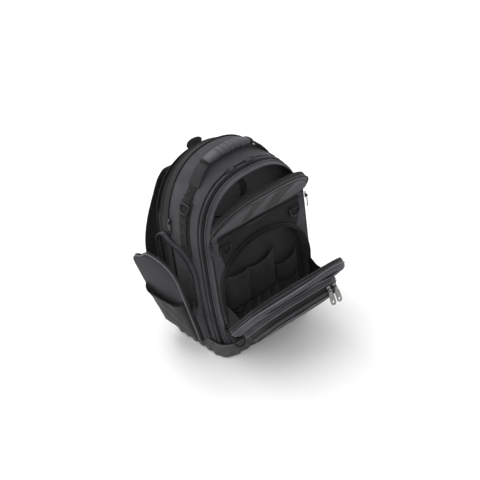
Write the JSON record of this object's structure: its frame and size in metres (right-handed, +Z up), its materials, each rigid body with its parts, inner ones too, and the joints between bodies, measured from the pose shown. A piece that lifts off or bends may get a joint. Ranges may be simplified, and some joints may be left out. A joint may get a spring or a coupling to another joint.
{
  "type": "tool backpack",
  "caption": "Upright tool backpack on a moulded rubber base, with its laptop and front compartments, tool bay and one side pocket open.",
  "frame": {"origin": "centre of the underside of the moulded base", "axes": "+Z up, +Y towards the wearer's back, +X across the pack, to the right when its open front is looked at"},
  "size_m": [0.42, 0.4701, 0.4941],
  "materials": {
    "charcoal_cloth": "matt plain weave, faintly violet charcoal",
    "black_cloth": "matt plain weave, near black",
    "padded_mesh": "padded cloth with a fine mesh face",
    "webbing": "ribbed woven webbing",
    "zip_tape": "woven zip tape with coil teeth",
    "base_rubber": "satin moulded rubber",
    "grip_rubber": "soft satin moulding",
    "black_metal": "black coated, low gloss",
    "nickel": "satin nickel plate"
  },
  "bodies": {
    "pack": {"base_tub": "base_rubber", "back_panel": "padded_mesh", "laptop_gusset": "black_cloth", "main_gusset": "charcoal_cloth", "front_gusset": "charcoal_cloth", "laptop_divider": "black_cloth", "main_zip": "zip_tape", "slider_cover_left": "black_metal", "slider_bay_left": "black_metal", "ring_loop_upper_left": "webbing", "ring_loop_lower_left": "webbing", "slider_cover_right": "black_metal", "slider_bay_right": "black_metal", "ring_loop_upper_right": "webbing", "ring_loop_lower_right": "webbing", "front_cover": "charcoal_cloth", "main_divider": "black_cloth", "tool_bay": "black_cloth", "tool_pockets": "black_cloth", "pen_slots": "black_cloth", "flap_tray": "charcoal_cloth", "outer_pocket": "charcoal_cloth", "flap_web_left": "black_cloth", "flap_web_right": "black_cloth", "side_gusset_left": "charcoal_cloth", "side_flap_left": "charcoal_cloth", "side_slip_pocket_left": "black_cloth", "side_gusset_right": "charcoal_cloth", "side_flap_right": "charcoal_cloth", "side_slip_pocket_right": "black_cloth", "slider_outer_inboard": "nickel", "slider_outer_outboard": "nickel", "slider_side_left": "black_metal", "slider_side_right": "black_metal", "slider_laptop": "black_metal", "side_webbing_left": "webbing", "side_webbing_right": "webbing", "shoulder_strap_left": "padded_mesh", "strap_webbing_left": "webbing", "shoulder_strap_right": "padded_mesh", "strap_webbing_right": "webbing", "handle_strap": "webbing", "handle_grip": "grip_rubber"},
    "pull_main_left": {"pull_main_left": "black_metal"},
    "pull_main_right": {"pull_main_right": "black_metal"},
    "pull_cover_left": {"pull_cover_left": "black_metal"},
    "pull_bay_left": {"pull_bay_left": "black_metal"},
    "ring_upper_left": {"ring_upper_left": "black_metal"},
    "ring_lower_left": {"ring_lower_left": "black_metal"},
    "pull_cover_right": {"pull_cover_right": "black_metal"},
    "pull_bay_right": {"pull_bay_right": "black_metal"},
    "ring_upper_right": {"ring_upper_right": "black_metal"},
    "ring_lower_right": {"ring_lower_right": "black_metal"},
    "pull_outer_inboard": {"pull_outer_inboard": "nickel"},
    "pull_outer_outboard": {"pull_outer_outboard": "nickel"},
    "pull_side_left": {"pull_side_left": "black_metal"},
    "pull_side_right": {"pull_side_right": "black_metal"},
    "pull_laptop": {"pull_laptop": "black_metal"},
    "ring_side_left": {"ring_side_left": "black_metal"},
    "ring_side_right": {"ring_side_right": "black_metal"}
  },
  "joints": [
    {"name": "pull_main_left_hinge", "type": "hinge", "parent": "pack", "child": "pull_main_left", "pos_m": [-0.017, -0.07198, 0.46354], "axis": [-0.0294, 0.9802, 0.196], "range_deg": [0, 100]},
    {"name": "pull_main_right_hinge", "type": "hinge", "parent": "pack", "child": "pull_main_right", "pos_m": [0.006, -0.07198, 0.46354], "axis": [-0.0294, -0.9802, -0.196], "range_deg": [0, 100]},
    {"name": "pull_cover_left_hinge", "type": "hinge", "parent": "pack", "child": "pull_cover_left", "pos_m": [-0.14354, -0.11244, 0.326], "axis": [-0.7071, 0.7071, 0], "range_deg": [0, 100]},
    {"name": "pull_bay_left_hinge", "type": "hinge", "parent": "pack", "child": "pull_bay_left", "pos_m": [-0.13021, -0.1089, 0.09], "axis": [-0.9701, 0.2425, 0], "range_deg": [0, 70]},
    {"name": "ring_upper_left_hinge", "type": "hinge", "parent": "pack", "child": "ring_upper_left", "pos_m": [-0.104, -0.1123, 0.312], "axis": [-1, 0, 0], "range_deg": [0, 100]},
    {"name": "ring_lower_left_hinge", "type": "hinge", "parent": "pack", "child": "ring_lower_left", "pos_m": [-0.098, -0.10479, 0.04611], "axis": [-1, 0, 0], "range_deg": [0, 100]},
    {"name": "pull_cover_right_hinge", "type": "hinge", "parent": "pack", "child": "pull_cover_right", "pos_m": [0.14354, -0.11244, 0.326], "axis": [-0.7071, -0.7071, 0], "range_deg": [0, 100]},
    {"name": "pull_bay_right_hinge", "type": "hinge", "parent": "pack", "child": "pull_bay_right", "pos_m": [0.13021, -0.1089, 0.09], "axis": [-0.9701, -0.2425, 0], "range_deg": [0, 70]},
    {"name": "ring_upper_right_hinge", "type": "hinge", "parent": "pack", "child": "ring_upper_right", "pos_m": [0.104, -0.1123, 0.312], "axis": [-1, 0, 0], "range_deg": [0, 100]},
    {"name": "ring_lower_right_hinge", "type": "hinge", "parent": "pack", "child": "ring_lower_right", "pos_m": [0.098, -0.10479, 0.04611], "axis": [-1, 0, 0], "range_deg": [0, 100]},
    {"name": "pull_outer_inboard_hinge", "type": "hinge", "parent": "pack", "child": "pull_outer_inboard", "pos_m": [0.05, -0.2732, 0.18313], "axis": [-1, 0, 0], "range_deg": [0, 100]},
    {"name": "pull_outer_outboard_hinge", "type": "hinge", "parent": "pack", "child": "pull_outer_outboard", "pos_m": [0.074, -0.26661, 0.17631], "axis": [-1, 0, 0], "range_deg": [0, 100]},
    {"name": "pull_side_left_hinge", "type": "hinge", "parent": "pack", "child": "pull_side_left", "pos_m": [-0.17466, -0.05498, 0.158], "axis": [-0.995, 0.0995, 0], "range_deg": [0, 100]},
    {"name": "pull_side_right_hinge", "type": "hinge", "parent": "pack", "child": "pull_side_right", "pos_m": [0.152, 0.09, 0.158], "axis": [1, 0, 0], "range_deg": [0, 100]},
    {"name": "pull_laptop_hinge", "type": "hinge", "parent": "pack", "child": "pull_laptop", "pos_m": [-0.1506, 0.03, 0.338], "axis": [0, 1, 0], "range_deg": [0, 100]},
    {"name": "ring_side_left_hinge", "type": "hinge", "parent": "pack", "child": "ring_side_left", "pos_m": [-0.13307, -0.022, 0.39847], "axis": [0, 1, 0], "range_deg": [0, 100]},
    {"name": "ring_side_right_hinge", "type": "hinge", "parent": "pack", "child": "ring_side_right", "pos_m": [0.13307, -0.022, 0.39847], "axis": [0, -1, 0], "range_deg": [0, 100]}
  ]
}
